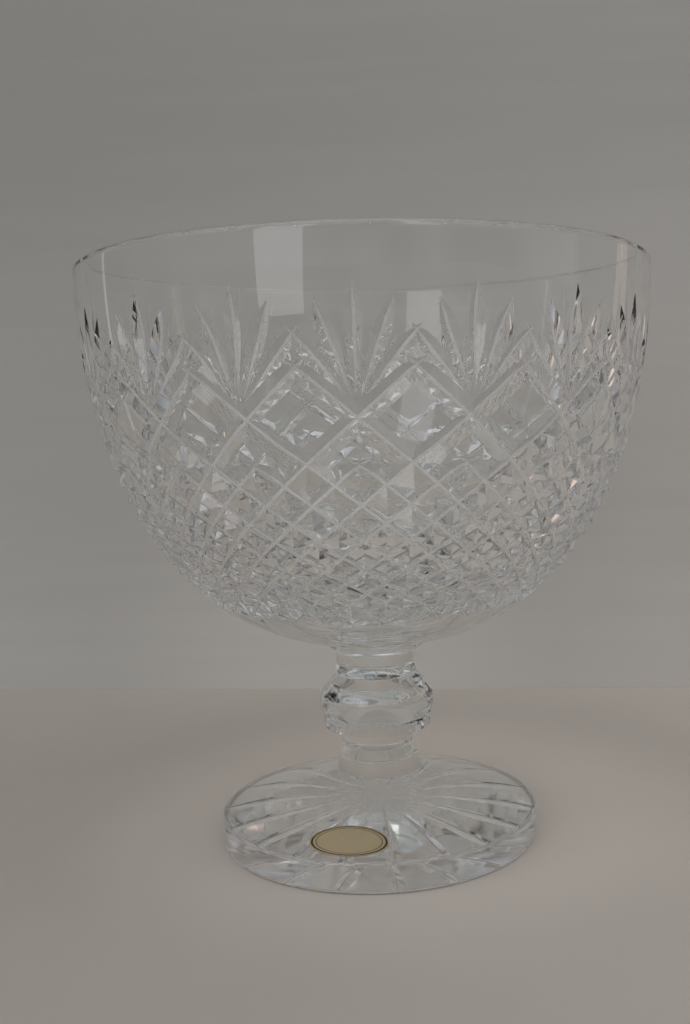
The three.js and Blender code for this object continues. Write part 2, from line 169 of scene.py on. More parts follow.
class Recipe(Bench):
    """A geometry tree. Its sizes are given as lists of names, one list for each kind of input."""

    def __init__(self, name, **sizes):
        super().__init__(bpy.data.node_groups.new(name, "GeometryNodeTree"))
        sockets = self.tree.interface
        for kind, labels in {"Geometry": "Geometry", **sizes}.items():
            for label in labels.split(", "):
                sockets.new_socket(label, in_out="INPUT", socket_type="NodeSocket" + kind)
        sockets.new_socket("Geometry", in_out="OUTPUT", socket_type="NodeSocketGeometry")
        self.given = self.tree.nodes.new("NodeGroupInput").outputs
        self.result = self.tree.nodes.new("NodeGroupOutput").inputs[0]

    def done(self, body):
        self.feed(self.result, body)
        print(self.tree.name, "has", len(self.tree.nodes), "nodes")

    def group(self, recipe, inputs):
        return self.node("GeometryNodeGroup", inputs, node_tree=recipe.tree)[0]

    def index(self):
        return self.node("GeometryNodeInputIndex")[0]

    def place(self):
        return self.node("GeometryNodeInputPosition")[0]

    def about_axis(self, vector, angle):
        spin = {"Vector": vector, "Angle": angle}
        return self.node("ShaderNodeVectorRotate", spin, rotation_type="Z_AXIS")[0]

    def moved(self, body, place):
        return self.node("GeometryNodeSetPosition", {"Geometry": body, "Position": place})[0]

    def welded(self, body):
        return self.node("GeometryNodeMergeByDistance", {"Geometry": body, "Distance": WELD})[0]

    def coated(self, body, finish, where=True):
        coat = {"Geometry": body, "Selection": where, "Material": finish}
        return self.node("GeometryNodeSetMaterial", coat)[0]

    def combined(self, operation, bodies, blank=None):
        """The bodies' union, what they share, or the blank less all of them."""
        start = {} if blank is None else {"Mesh 1": blank}
        made = self.node("GeometryNodeMeshBoolean", start, operation=operation, solver="MANIFOLD")["Mesh"]
        for body in bodies:
            self.feed(made.node.inputs["Mesh 2"], body)
        return made


print("benches:", *(bench.__name__ for bench in (Bench, Paint, Recipe)))

# %% [markdown]
# ## Crystal
#
# Lead crystal is clear, bends light strongly and is polished until it shines, on the cuts as well. What
# makes it look made by hand is small: the wall is a little wavy, and the cut walls, polished in acid, are
# softer and a little milky. The narrow bottoms of the cuts, which the polish reaches last, are milkier,
# and the face that the foot has rubbed on tables is softer. So there are six finishes of the same glass.
# Colour, clearness and index of refraction are the same all over a finish and are set on the shader
# itself. The waves and the softness come from noise.

# %% Finishes of the crystal
CRYSTAL_COLOUR, CRYSTAL_INDEX = (0.99, 0.995, 0.99, 1), 1.545
PATCHES_PER_METRE, PATCH_CONTRAST = 90.0, 0.6
SEEDS_PER_METRE, JOINT_TINTS = 400.0, ((0.96, 0.97, 0.965), (1, 1, 1))


def crystal_finish(name, wave_size, wave_depth, softness, clearness):
    paint = Paint(name)
    waves = paint.noise(paint.place, 1 / (wave_size * MM), detail=1.0)
    patches = paint.noise(paint.place, PATCHES_PER_METRE)
    paint.shade({
        "Base Color": CRYSTAL_COLOUR, "IOR": CRYSTAL_INDEX, "Transmission Weight": clearness,
        "Normal": paint.node("ShaderNodeBump", {"Height": waves, "Distance": wave_depth * MM})["Normal"],
        "Roughness": paint.ramp(
            patches, 0, 1, softness * (1 - PATCH_CONTRAST), softness * (1 + PATCH_CONTRAST))})
    return paint.material


# Size and depth of the waves in millimetres, softness, and clearness as a share
blown_skin = crystal_finish("blown_crystal", 26, 0.05, 0.012, 1.0)
flat_cut = crystal_finish("flat_cut_crystal", 9, 0.01, 0.02, 1.0)
wheel_cut = crystal_finish("wheel_cut_crystal", 3.5, 0.012, 0.045, 0.98)
cut_bottom = crystal_finish("cut_bottom_crystal", 2, 0.01, 0.35, 0.86)
star_cut = crystal_finish("star_cut_crystal", 3.5, 0.012, 0.05, 0.98)
worn_rest = crystal_finish("worn_crystal", 3, 0.01, 0.06, 1.0)

# Where two bits of glass were joined hot no surface is left, so a joint face lets light straight through
joint = Paint("fused_joint")
tint = joint.mixed(joint.noise(joint.place, SEEDS_PER_METRE), *JOINT_TINTS)
joint.feed(joint.surface, joint.node("ShaderNodeBsdfTransparent", {"Color": tint})[0])
joint.tree.nodes.remove(joint.shader)
fused_joint = joint.material
print("finishes:", *(finish.name for finish in (
    blown_skin, flat_cut, wheel_cut, cut_bottom, star_cut, worn_rest, fused_joint)))

# %% [markdown]
# ## Turning
#
# A turned piece is its profile, swept round the axis. Blender has a Screw modifier for that. A node tree
# does the same and can go on to cut the piece: a grid has one row for each point of the profile and one
# column for each step round the axis, and every vertex moves to its profile point, turned by its column.
# The points where the profile meets the axis, and the seam, are merged, so the body is closed.

# %% Tree that turns a profile
turning = Recipe("turn_profile", Int="Steps round", Material="Finish")
profile, steps = turning.given["Geometry"], turning.given["Steps round"]
rows = turning.node("GeometryNodeAttributeDomainSize", {0: profile})["Point Count"]
grid = turning.node("GeometryNodeMeshGrid", {
    "Vertices X": turning.plus(steps, 1), "Vertices Y": rows})["Mesh"]
row = turning.maths("MODULO", turning.index(), rows)
column = turning.maths("FLOOR", turning.over(turning.index(), rows))
flat = turning.parts(turning.node("GeometryNodeSampleIndex", {
    "Geometry": profile, "Value": turning.place(), "Index": row}, data_type="FLOAT_VECTOR")[0])
at_front = turning.xyz(0.0, turning.times(flat["X"], -1), flat["Z"])
swept = turning.about_axis(at_front, turning.times(column, turning.over(2 * math.pi, steps)))
body = turning.welded(turning.moved(grid, swept))
turning.done(turning.coated(body, turning.given["Finish"]))

# %% [markdown]
# Every piece of glass ends the same way: edges stay sharp where two cuts meet and soft elsewhere, and the
# flat faces that are joined to a neighbour get the joint finish. A joint is found by its place: it is
# flat, it lies at the very bottom or top of the piece, and it is no wider than the neighbour.

# %% Tree that finishes a piece
SHARP_ANGLE = math.radians(11)
AT_LEVEL, FACING = 0.01 * MM, 0.99
finishing = Recipe("finish_glass", Float="Joint below, Joint above")
smooth = finishing.node("GeometryNodeSetShadeSmooth", {"Geometry": finishing.given["Geometry"]})[0]
bend = finishing.node("GeometryNodeInputMeshEdgeAngle")["Unsigned Angle"]
crisp = finishing.maths("GREATER_THAN", bend, SHARP_ANGLE)
smooth = finishing.node("GeometryNodeSetShadeSmooth", {
    "Geometry": smooth, "Selection": crisp, "Shade Smooth": False}, domain="EDGE")[0]
ends = finishing.node("GeometryNodeBoundBox", {"Geometry": smooth})
middle = finishing.parts(finishing.place())
facing = finishing.parts(finishing.node("GeometryNodeInputNormal")[0])
reach = finishing.diagonal(middle["X"], middle["Y"])
joined = []
for end, label, up in (("Min", "Joint below", -1), ("Max", "Joint above", 1)):
    level = finishing.parts(ends[end])["Z"]
    off_level = finishing.maths("ABSOLUTE", finishing.minus(middle["Z"], level))
    at_end = finishing.maths("LESS_THAN", off_level, AT_LEVEL)
    outward = finishing.maths("GREATER_THAN", finishing.times(facing["Z"], up), FACING)
    covered = finishing.maths("LESS_THAN", reach, finishing.given[label])
    joined.append(finishing.times(finishing.times(at_end, outward), covered))
whole = finishing.node("GeometryNodeRealizeInstances", {"Geometry": smooth})[0]
finishing.done(finishing.coated(whole, fused_joint, finishing.maths("MAXIMUM", *joined)))


# %% [markdown]
# A profile is drawn as a chain of points from the axis at the bottom, up the outside, and back to the
# axis. The helpers below round a corner of such a chain, start and end a piece's tree, put the chain into
# a mesh, run the tree on it and keep the result as a plain mesh.

# %% Helpers for profiles and trees
def arc(start, corner, end, steps):
    """Points of a rounded corner, without its first point."""
    start, corner, end = Vector(start), Vector(corner), Vector(end)
    shares = [i / steps for i in range(1, steps + 1)]
    return [tuple(start * (1 - t) ** 2 + corner * 2 * t * (1 - t) + end * t * t) for t in shares]


def turned(recipe, finish):
    return recipe.group(turning, {
        "Geometry": recipe.given["Geometry"], "Steps round": recipe.given["Steps round"], "Finish": finish})


def finish_piece(recipe, body):
    joints = {label: recipe.given[label] for label in recipe.given.keys() if label.startswith("Joint")}
    recipe.done(recipe.group(finishing, {"Geometry": body, **joints}))


print("a rounded corner in two steps:", arc((1, 0), (1, 1), (0, 1), 2))

# %% Helpers that run a tree and measure the result
MILLILITRE = 1000 * MM**3


def measured(mesh):
    """How many edges don't join two faces, and the volume."""
    shell = bmesh.new()
    shell.from_mesh(mesh)
    count = sum(len(edge.link_faces) != 2 for edge in shell.edges)
    volume = shell.calc_volume(signed=True)
    shell.free()
    return count, volume


def make_piece(name, points, recipe, sizes, height=0.0):
    chain = bpy.data.meshes.new(name + "_profile")
    corners = [(radius * MM, 0, (level + height) * MM) for radius, level in points]
    chain.from_pydata(corners, [(i, i + 1) for i in range(len(corners) - 1)], [])
    piece = bpy.data.objects.new(name, chain)
    bpy.context.scene.collection.objects.link(piece)
    modifier = piece.modifiers.new("recipe", "NODES")
    modifier.node_group = recipe.tree
    for item in recipe.tree.interface.items_tree:
        if item.in_out == "INPUT" and item.name in sizes:
            modifier[item.identifier] = sizes[item.name]
    finished = piece.evaluated_get(bpy.context.evaluated_depsgraph_get())
    mesh = bpy.data.meshes.new_from_object(finished)
    piece.modifiers.remove(modifier)
    piece.data = mesh
    mesh.name = name
    mesh.calc_loop_triangles()
    loose, volume = measured(mesh)
    print(f"{name}: {len(mesh.loop_triangles)} triangles, {loose} open edges,",
          f"{volume / MILLILITRE:.1f} ml,", [slot.name for slot in mesh.materials if slot])
    return piece


# %% [markdown]
# ## Stem
#
# Between the foot and the bowl stand a ringed neck, the knop, a second neck and a thin collar. The necks
# and the collar are only turned. Each ring is a shallow V that a stone cut while the piece turned, so it
# is part of the profile.

# %% Tree for turned pieces
plain_turned = Recipe("turned_glass", Int="Steps round", Float="Joint below, Joint above")
finish_piece(plain_turned, turned(plain_turned, blown_skin))

# %% Necks and collar
HUB_TOP_RADIUS, HUB_TOP = 12.4, 25.6
LOWER_STEM_RADIUS, LOWER_STEM_HEIGHT, LOWER_RING = 11.4, 8.6, 5.0
UPPER_STEM_RADIUS, UPPER_STEM_TOP, UPPER_STEM_HEIGHT, UPPER_RING = 12.8, 12.3, 8.6, 3.8
RING_WIDTH, RING_DEPTH = 1.0, 0.7
KNOP_HEIGHT = 17.8
COLLAR_RADIUS, COLLAR_HEIGHT, COLLAR_ROUNDING = 15.0, 2.0, 0.8
STEM_STEPS, ROUNDING_STEPS = 144, 12
knop_base = HUB_TOP + LOWER_STEM_HEIGHT
knop_top = knop_base + KNOP_HEIGHT
collar_base = knop_top + UPPER_STEM_HEIGHT
bowl_seat = collar_base + COLLAR_HEIGHT


def neck_profile(base, top, height, ring):
    def radius_at(level):
        return base + (top - base) * level / height
    low, high = ring - RING_WIDTH / 2, ring + RING_WIDTH / 2
    return [(0, 0), (base, 0), (radius_at(low), low), (radius_at(ring) - RING_DEPTH, ring),
            (radius_at(high), high), (top, height), (0, height)]


def stem_sizes(below, above):
    return {"Steps round": STEM_STEPS, "Joint below": below * MM, "Joint above": above * MM}


lower_stem = make_piece(
    "lower_stem_glass",
    neck_profile(LOWER_STEM_RADIUS, LOWER_STEM_RADIUS, LOWER_STEM_HEIGHT, LOWER_RING),
    plain_turned, stem_sizes(LOWER_STEM_RADIUS, LOWER_STEM_RADIUS), HUB_TOP)
upper_stem = make_piece(
    "upper_stem_glass",
    neck_profile(UPPER_STEM_RADIUS, UPPER_STEM_TOP, UPPER_STEM_HEIGHT, UPPER_RING),
    plain_turned, stem_sizes(UPPER_STEM_RADIUS, UPPER_STEM_TOP), knop_top)
collar_edge = COLLAR_RADIUS - COLLAR_ROUNDING
collar = make_piece(
    "collar_glass",
    [(0, 0), (UPPER_STEM_TOP, 0), (collar_edge, 0),
     *arc((collar_edge, 0), (COLLAR_RADIUS, 0), (COLLAR_RADIUS, COLLAR_ROUNDING), ROUNDING_STEPS),
     (COLLAR_RADIUS, COLLAR_HEIGHT), (0, COLLAR_HEIGHT)],
    plain_turned, stem_sizes(UPPER_STEM_TOP, COLLAR_RADIUS), collar_base)

# %% [markdown]
# The knop is a turned pear that was then held against a flat stone: six arched flats stand above the
# girdle, and a band of sixteen small facets runs round below it. Cutting flats on a body is the same as
# keeping what lies inside a block with that many leaning sides. Each block here is two cones with few
# sides, one above the girdle and one below, and the tree keeps what the pear and both blocks share.

# %% Tree for the knop
KNOP_CONES = ("Flats above", "Flats below", "Facets above", "Facets below")
CONE_SIZES = ("low", "high", "low radius", "high radius")
cone_inputs = [f"{cone} {size}" for cone in KNOP_CONES for size in CONE_SIZES]
cutting_knop = Recipe("facetted_knop", Int="Steps round, Flats, Facets",
                      Float=", ".join(["Turn", *cone_inputs, "Joint below", "Joint above"]))


def knop_cone(recipe, name):
    low, high, low_radius, high_radius = (recipe.given[f"{name} {size}"] for size in CONE_SIZES)
    sides = recipe.given[name.split()[0]]
    half_step = recipe.over(math.pi, sides)
    corner = recipe.maths("COSINE", half_step)
    cone = recipe.node("GeometryNodeMeshCone", {
        "Vertices": sides, "Radius Bottom": recipe.over(low_radius, corner),
        "Radius Top": recipe.over(high_radius, corner), "Depth": recipe.minus(high, low)})["Mesh"]
    spin = recipe.plus(recipe.given["Turn"], recipe.plus(half_step, math.pi / 2))
    cone = recipe.node("GeometryNodeTransform", {
        "Geometry": cone, "Translation": recipe.xyz(0, 0, low), "Rotation": recipe.xyz(0, 0, spin)})[0]
    return recipe.coated(cone, flat_cut)


facetted = turned(cutting_knop, blown_skin)
cones = [knop_cone(cutting_knop, name) for name in KNOP_CONES]
for block in (cones[:2], cones[2:]):
    facetted = cutting_knop.combined("INTERSECT", [facetted, cutting_knop.combined("UNION", block)])
finish_piece(cutting_knop, facetted)

# %% Knop
KNOP_RADIUS, KNOP_BELLY, KNOP_SHOULDER = 18.1, 10.4, 12.6
KNOP_BAND_RADIUS, KNOP_BAND_BASE = 16.9, 1.0
KNOP_GIRDLE_RADIUS, KNOP_GIRDLE = 17.0, 4.8
KNOP_FLATS, KNOP_FLAT_RADIUS, KNOP_FACETS, KNOP_FACET_RADIUS = 6, 15.4, 16, 16.3
KNOP_TURN = math.radians(5)
BELLY_STEPS, SHOULDER_STEPS = 10, 20
LAP = 0.2

above_girdle = KNOP_HEIGHT - KNOP_GIRDLE
lean = (KNOP_RADIUS - KNOP_FLAT_RADIUS) / (KNOP_BELLY - KNOP_GIRDLE)
band_lean = (KNOP_GIRDLE_RADIUS - KNOP_FACET_RADIUS) / KNOP_GIRDLE
clear_radius = KNOP_GIRDLE_RADIUS + above_girdle
knop_cones = {
    "Flats above": (KNOP_GIRDLE - LAP, KNOP_HEIGHT + LAP, KNOP_FLAT_RADIUS - lean * LAP,
                    KNOP_FLAT_RADIUS + lean * (above_girdle + LAP)),
    "Flats below": (-LAP, KNOP_GIRDLE, clear_radius, clear_radius),
    "Facets above": (KNOP_GIRDLE - LAP, KNOP_HEIGHT + LAP, KNOP_GIRDLE_RADIUS - LAP, clear_radius + LAP),
    "Facets below": (-LAP, KNOP_GIRDLE, KNOP_FACET_RADIUS - band_lean * LAP, KNOP_GIRDLE_RADIUS)}
girdle, belly = (KNOP_GIRDLE_RADIUS, KNOP_GIRDLE), (KNOP_RADIUS, KNOP_BELLY)
cone_lift = dict(zip(CONE_SIZES, (knop_base, knop_base, 0, 0)))
knop = make_piece(
    "knop_glass",
    [(0, 0), (LOWER_STEM_RADIUS, 0), (KNOP_BAND_RADIUS, KNOP_BAND_BASE), girdle,
     *arc(girdle, (KNOP_RADIUS, (KNOP_GIRDLE + KNOP_BELLY) / 2), belly, BELLY_STEPS),
     *arc(belly, (KNOP_RADIUS, KNOP_SHOULDER), (UPPER_STEM_RADIUS, KNOP_HEIGHT), SHOULDER_STEPS),
     (0, KNOP_HEIGHT)],
    cutting_knop,
    {"Flats": KNOP_FLATS, "Facets": KNOP_FACETS, "Turn": KNOP_TURN,
     **{f"{cone} {size}": (value + cone_lift[size]) * MM
        for cone, values in knop_cones.items() for size, value in zip(CONE_SIZES, values)},
     **stem_sizes(LOWER_STEM_RADIUS, UPPER_STEM_RADIUS)}, knop_base)

# %% [markdown]
# ## The wheel
#
# All other cuts are made with a wheel that has a V-shaped edge. Such a cut is a trough with two flat
# walls: the deeper the wheel goes in, the wider the trough, and it closes to a point where the wheel
# leaves the glass. The functions below add that shape to a tree. It is a thin four-sided body along a line
# of stations, and each station has a point on the glass, the direction out of the glass, the direction of
# the cut and half its width. The wheel's edge is a little blunt, so a narrow bottom runs along every cut
# and catches the light as a line.

# %% Wheel: a V-shaped cutter along a line of stations
WHEEL_STEEPNESS = 0.7
WHEEL_CLEARANCE = 0.4
WHEEL_EDGE, WHEEL_EDGE_SHARE = 0.4, 0.22
# Corners 0 and 1 of a station lie at the bottom of the cut, 2 and 3 above the glass, and 4 closes the ring.
# Two corners are picked as a pair by their middle number, and side 0, the bottom, by a number below 1.
RING = 5
UPPER_PAIR, RIGHT_PAIR, PAIR_REACH = 2.5, 1.5, 0.6
BOTTOM_SIDE = 0.5


def stations(recipe, count):
    """A strip with a ring of corners at each station, and each corner's place along it and round it."""
    strip = recipe.node("GeometryNodeMeshGrid", {"Vertices X": count, "Vertices Y": RING})["Mesh"]
    station = recipe.maths("FLOOR", recipe.over(recipe.index(), RING))
    share = recipe.over(station, recipe.minus(count, 1))
    return strip, share, recipe.maths("MODULO", recipe.index(), RING)


def wheel_cut_body(recipe, strip, ring, point, outward, along, half_width, angle,
                   steepness=WHEEL_STEEPNESS, walls=wheel_cut):
    edge = recipe.maths("MINIMUM", recipe.times(half_width, WHEEL_EDGE_SHARE), WHEEL_EDGE * MM)
    wall = recipe.minus(half_width, edge)
    above = recipe.maths("COMPARE", ring, UPPER_PAIR, PAIR_REACH)
    hand = recipe.ramp(recipe.maths("COMPARE", ring, RIGHT_PAIR, PAIR_REACH), 0, 1, -1, 1)
    over = recipe.times(above, recipe.times(wall, 1 + WHEEL_CLEARANCE))
    aside = recipe.times(hand, recipe.plus(edge, over))
    lift_share = recipe.ramp(above, 0, 1, -steepness, WHEEL_CLEARANCE * steepness)
    sideways = recipe.scaled(recipe.vector("CROSS_PRODUCT", along, outward), aside)
    lifted = recipe.scaled(outward, recipe.times(lift_share, wall))
    placed = recipe.vector("ADD", point, recipe.vector("ADD", sideways, lifted))
    cutter = recipe.coated(recipe.moved(strip, recipe.about_axis(placed, angle)), walls)
    side = recipe.maths("MODULO", recipe.index(), RING - 1)
    return recipe.welded(recipe.coated(cutter, cut_bottom, recipe.maths("LESS_THAN", side, BOTTOM_SIDE)))


def leaf(recipe, share, widest):
    """A leaf's width along its length: from a point to its widest place and back to a point."""
    power = recipe.over(math.log(1 / 2), recipe.maths("LOGARITHM", widest, math.e))
    bent = recipe.maths("POWER", share, power)
    return recipe.maths("MAXIMUM", recipe.maths("SINE", recipe.times(bent, math.pi)), 0.0)


def round_the_axis(recipe, shape, count):
    """Copies of a cutter, evenly turned about the axis."""
    points = recipe.node("GeometryNodePoints", {"Count": count})[0]
    angle = recipe.times(recipe.index(), recipe.over(2 * math.pi, count))
    spin = recipe.node("FunctionNodeEulerToRotation", {0: recipe.xyz(0, 0, angle)})[0]
    return recipe.node("GeometryNodeInstanceOnPoints", {
        "Points": points, "Instance": shape, "Rotation": spin})[0]


print(f"wheel: a V of {2 * math.degrees(math.atan(1 / WHEEL_STEEPNESS)):.0f} degrees")

# %% [markdown]
# ## Foot
#
# The foot is a low cone with a straight edge. A star of eighteen leaf-shaped rays is cut into its
# underside and runs out through the edge, so it shows through the glass from above. One ray is a recipe,
# and the tree turns copies of it round the axis. The flat glass left between the rays is the face that
# rests on the table.

# %% Tree for the foot
STAR_STEEPNESS, RAY_STATIONS = 0.4, 25
starring = Recipe("star_foot", Int="Steps round, Rays",
                  Float="Turn, From, To, Ray width, Widest, Joint above")
given = starring.given
strip, share, ring = stations(starring, RAY_STATIONS)
out = starring.ramp(share, 0, 1, given["From"], given["To"])
half = starring.times(starring.over(given["Ray width"], 2), leaf(starring, share, given["Widest"]))
ray = wheel_cut_body(starring, strip, ring, starring.xyz(0, starring.times(out, -1), 0),
                     (0, 0, -1), (0, -1, 0), half, given["Turn"], STAR_STEEPNESS, star_cut)
star = round_the_axis(starring, ray, given["Rays"])
starred = starring.combined("DIFFERENCE", [star], turned(starring, blown_skin))
on_table = starring.maths("LESS_THAN", starring.parts(starring.place())["Z"], AT_LEVEL)
finish_piece(starring, starring.coated(starred, worn_rest, on_table))

# %% Foot with its star
FOOT_RADIUS, FOOT_EDGE, FOOT_ROUNDING = 50.2, 9.3, 1.2
HUB_BASE_RADIUS, HUB_BASE = 13.2, 20.9
STAR_RAYS, STAR_TURN = 18, math.radians(7)
STAR_INNER, STAR_WIDTH, STAR_OVERRUN, LEAF_WIDEST = 6.0, 4.4, 2.5, 0.62
FOOT_STEPS = 240

rim_in, rim_low = FOOT_RADIUS - FOOT_ROUNDING, FOOT_EDGE - FOOT_ROUNDING
foot = make_piece(
    "foot_glass",
    [(0, 0), (rim_in, 0),
     *arc((rim_in, 0), (FOOT_RADIUS, 0), (FOOT_RADIUS, FOOT_ROUNDING), ROUNDING_STEPS),
     (FOOT_RADIUS, rim_low),
     *arc((FOOT_RADIUS, rim_low), (FOOT_RADIUS, FOOT_EDGE), (rim_in, FOOT_EDGE), ROUNDING_STEPS),
     (HUB_BASE_RADIUS, HUB_BASE), (HUB_TOP_RADIUS, HUB_TOP), (LOWER_STEM_RADIUS, HUB_TOP), (0, HUB_TOP)],
    starring,
    {"Steps round": FOOT_STEPS, "Rays": STAR_RAYS, "Turn": STAR_TURN, "From": STAR_INNER * MM,
     "To": (FOOT_RADIUS + STAR_OVERRUN) * MM, "Ray width": STAR_WIDTH * MM, "Widest": LEAF_WIDEST,
     "Joint above": LOWER_STEM_RADIUS * MM})

# %% [markdown]
# ## Bowl
#
# The blank of the bowl is turned from a profile: a curve from the seat up to the rim, a round lip and a
# smoother curve down the inside. The pattern follows rules. Eighteen fans stand round the wall, each with
# five leaf-shaped blades. Below them, cuts run down the wall to the left and to the right, always at the
# same slant, and where they cross they leave small pyramids. To keep its slant on a wall that narrows, a
# cut turns faster round the axis the smaller the radius is: its angle is the sum of each step down the
# wall divided by the radius there.

# %% The bowl's curves, and lengths along them
RIM_RADIUS, BOWL_HEIGHT, LIP_THICKNESS = 85.0, 114.1, 3.8
SIDE_SWEEP, BOTTOM_SWEEP_RADIUS, BOTTOM_SWEEP_RISE = 41.1, 55.5, 6.6
BOTTOM_THICKNESS, SIDE_SWELLING = 9.0, 2.6
INNER_BOTTOM_SWEEP, INNER_SIDE_SWEEP = 46.0, 44.0
WALL_STEPS = 800
rim_top = bowl_seat + BOWL_HEIGHT
lip_radius = LIP_THICKNESS / 2
outer_curve = [(RIM_RADIUS, rim_top - lip_radius), (RIM_RADIUS, bowl_seat + SIDE_SWEEP),
               (BOTTOM_SWEEP_RADIUS, bowl_seat + BOTTOM_SWEEP_RISE), (COLLAR_RADIUS, bowl_seat)]
inner_curve = [(0, bowl_seat + BOTTOM_THICKNESS), (INNER_BOTTOM_SWEEP, bowl_seat + BOTTOM_THICKNESS),
               (RIM_RADIUS - LIP_THICKNESS - SIDE_SWELLING, bowl_seat + INNER_SIDE_SWEEP),
               (RIM_RADIUS - LIP_THICKNESS, rim_top - lip_radius)]


def bezier(corners, steps):
    a, b, c, d = (Vector(corner) for corner in corners)
    shares = [i / steps for i in range(steps + 1)]
    return [a * (1 - t) ** 3 + b * 3 * t * (1 - t) ** 2 + c * 3 * t * t * (1 - t) + d * t ** 3
            for t in shares]


wall = bezier(outer_curve, WALL_STEPS)
down, turned_by = [0.0], [0.0]
for above, below in zip(wall, wall[1:]):
    step = (below - above).length
    down.append(down[-1] + step)
    turned_by.append(turned_by[-1] + step / ((above.x + below.x) / 2))
fall = [rim_top - point.y for point in wall]
print(f"wall from rim to seat: {down[-1]:.1f} mm")

# %% Rows and columns of the pattern
FANS, COLUMNS_PER_FAN = 18, 4
NET_TOP, NET_ANGLE, NET_END_RADIUS = 33.0, math.radians(41), 47.0


def between(value, known, wanted):
    """Reads a rising list of known values and gives the other list's value at the same place."""
    i = next((k for k in range(1, len(known)) if known[k] >= value), len(known) - 1)
    t = (value - known[i - 1]) / (known[i] - known[i - 1])
    return wanted[i - 1] + (wanted[i] - wanted[i - 1]) * t


column_angle = 2 * math.pi / (FANS * COLUMNS_PER_FAN)
row_turn = column_angle * math.tan(NET_ANGLE)
top_turn = between(NET_TOP, fall, turned_by)
narrowing = [-point.x for point in wall]
end_row = math.floor((between(-NET_END_RADIUS, narrowing, turned_by) - top_turn) / row_turn)


def row_down(row):
    """Length down the wall to a row of the pattern."""
    return between(top_turn + row * row_turn, turned_by, down)


print(f"net of {FANS * COLUMNS_PER_FAN} columns, rows 0 to {end_row},",
      f"from {row_down(0):.1f} to {row_down(end_row):.1f} mm down")

# %% [markdown]
# The wall's curve also has to be known inside the trees. There it is one Bezier Segment node, and Sample
# Curve reads from it the point, the direction and the sum of turning at any length down the wall.

# %% The wall inside a tree
WALL_SAMPLES = 700


def wall_frame(recipe, length):
    """At the front, for a length down the wall: the point, the outward and downward directions, the radius
    and the sum of turning."""
    ends = [(x * MM, 0, z * MM) for x, z in outer_curve]
    curve = recipe.node("GeometryNodeCurvePrimitiveBezierSegment", {
        "Resolution": WALL_SAMPLES, "Start": ends[0], "Start Handle": ends[1], "End Handle": ends[2],
        "End": ends[3]})[0]
    curve = recipe.node("GeometryNodeResampleCurve", {"Curve": curve, "Count": WALL_SAMPLES})[0]
    whole = recipe.node("GeometryNodeCurveLength", {"Curve": curve})[0]
    radius = recipe.parts(recipe.place())["X"]
    step = recipe.over(recipe.over(whole, WALL_SAMPLES - 1), radius)
    turning_sum = recipe.node("GeometryNodeAccumulateField", {"Value": step})["Trailing"]
    found = recipe.node("GeometryNodeSampleCurve", {
        "Curves": curve, "Value": turning_sum, "Length": length}, mode="LENGTH")
    place, way = recipe.parts(found["Position"]), recipe.parts(found["Tangent"])
    point = recipe.xyz(0, recipe.times(place["X"], -1), place["Z"])
    outward = recipe.xyz(0, way["Z"], way["X"])
    downward = recipe.xyz(0, recipe.times(way["X"], -1), way["Z"])
    return point, outward, downward, place["X"], found["Value"]


print(f"the wall is known every {down[-1] / (WALL_SAMPLES - 1):.2f} mm")

# %% Tree for one slanted cut
slanting = Recipe(
    "slanted_cut", Int="Stations",
    Float="From, To, Run in, Run out, Start turn, Start sum, Hand, Upper half width, Net from, Net to, "
          "Net share")
given = slanting.given
strip, share, ring = stations(slanting, given["Stations"])
length = slanting.ramp(share, 0, 1, given["From"], given["To"])
point, outward, downward, radius, turn_sum = wall_frame(slanting, length)
swing = slanting.over(slanting.minus(turn_sum, given["Start sum"]), math.tan(NET_ANGLE))
angle = slanting.plus(given["Start turn"], slanting.times(swing, given["Hand"]))
along = slanting.vector("ADD", slanting.scaled(downward, math.sin(NET_ANGLE)), slanting.scaled(
    slanting.xyz(given["Hand"], 0, 0), math.cos(NET_ANGLE)))
net_half = slanting.times(slanting.times(radius, given["Net share"]), column_angle * math.sin(NET_ANGLE))
in_net = slanting.ramp(length, given["Net from"], given["Net to"], style="SMOOTHSTEP")
wide = slanting.ramp(in_net, 0, 1, given["Upper half width"], net_half)
enters = slanting.ramp(length, given["From"], slanting.plus(given["From"], given["Run in"]))
leaves = slanting.ramp(length, slanting.minus(given["To"], given["Run out"]), given["To"], 1, 0)
half = slanting.times(wide, slanting.times(enters, leaves))
slanting.done(wheel_cut_body(slanting, strip, ring, point, outward, along, half, angle))

# %% Tree for one blade
blading = Recipe(
    "fan_blade", Int="Stations",
    Float="Base, Blade length, Lean, Foot, Base radius, Blade width, Widest")
given = blading.given
strip, share, ring = stations(blading, given["Stations"])
gone = blading.times(share, given["Blade length"])
leans, stands = (blading.maths(wave, given["Lean"]) for wave in ("SINE", "COSINE"))
aside = blading.plus(given["Foot"], blading.times(gone, leans))
level = blading.minus(given["Base"], blading.times(gone, stands))
point, outward, downward = wall_frame(blading, level)[:3]
along = blading.vector("SUBTRACT", blading.scaled((1, 0, 0), leans), blading.scaled(downward, stands))
half = blading.times(blading.over(given["Blade width"], 2), leaf(blading, share, given["Widest"]))
angle = blading.over(aside, given["Base radius"])
blading.done(wheel_cut_body(blading, strip, ring, point, outward, along, half, angle))

# %% [markdown]
# The bowl's own tree turns the blank, makes one of each cut, turns eighteen copies of each round the axis
# and cuts them all away in one step. Main cuts start at the points between the fans, and change to the
# net's width where the net begins. The cuts between them start lower, under the middle of each fan, so
# that the pyramids have half the fans' spacing. These have the net's width from the start.

# %% Tree for the bowl
NET_ROW, RUN, SIDE_BLADES, FAN_BASE = 4, 5.0, 2, 40.3
CUT_STATIONS, BLADE_STATIONS = 64, 24
